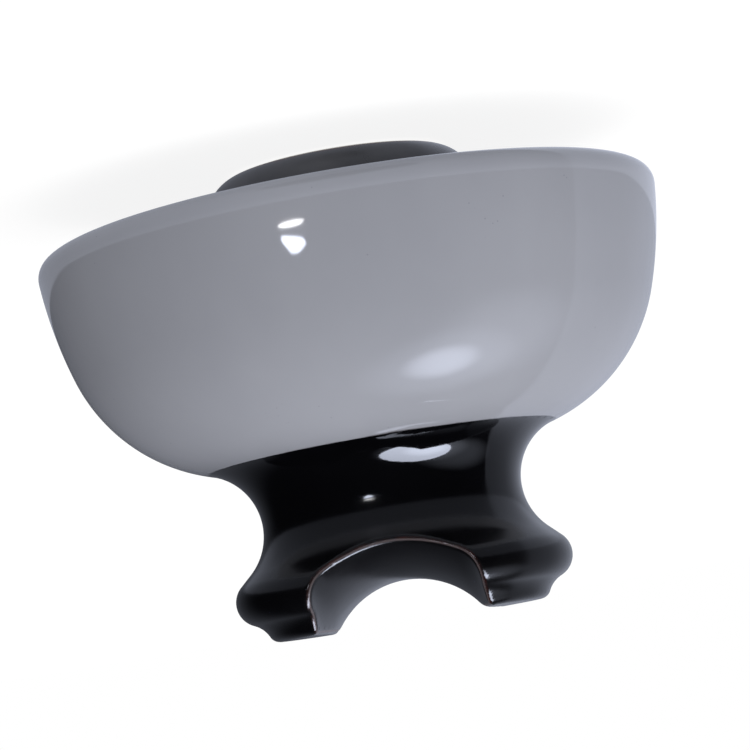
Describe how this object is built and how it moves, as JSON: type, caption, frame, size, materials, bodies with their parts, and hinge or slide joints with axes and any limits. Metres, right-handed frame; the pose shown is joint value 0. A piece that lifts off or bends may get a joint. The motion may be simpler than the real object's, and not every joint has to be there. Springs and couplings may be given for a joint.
{
  "type": "pin-type porcelain line insulator",
  "caption": "Pin-type porcelain line insulator with saddle crown, tie-wire neck, wide skirt, inner petticoat and threaded pin thimble.",
  "frame": {"origin": "on the pin axis, in the plane of the foot ring at the bottom of the inner petticoat", "axes": "+Z along the pin axis from the pin hole to the crown; the conductor saddle runs along Y; X is across the saddle"},
  "size_m": [0.1404, 0.1404, 0.1044],
  "materials": {
    "porcelain_body": "unglazed fired porcelain, matt",
    "grey_glaze": "glossy sky-grey glaze",
    "black_glaze": "glossy black semiconducting glaze",
    "dark_glaze": "satin charcoal glaze",
    "sand": "porcelain grit set in glaze, rough",
    "cement": "neat Portland cement, matt",
    "cork": "pressed cork",
    "bitumen": "bitumen paint, satin",
    "zinc": "cast zinc alloy, dull"
  },
  "bodies": {
    "root": {"head_shell": "porcelain_body", "crown_glaze": "black_glaze", "skirt_glaze": "grey_glaze", "head_sand_band": "sand", "shell_cement": "cement", "shell_cushion_disc": "cork", "pin_shell": "porcelain_body", "petticoat_glaze": "dark_glaze", "pin_shell_sand_band": "sand", "bore_sand_band": "sand", "thimble_cement": "cement", "thimble_cushion_disc": "cork", "thimble_bitumen_coat": "bitumen", "thimble": "zinc"}
  },
  "joints": []
}
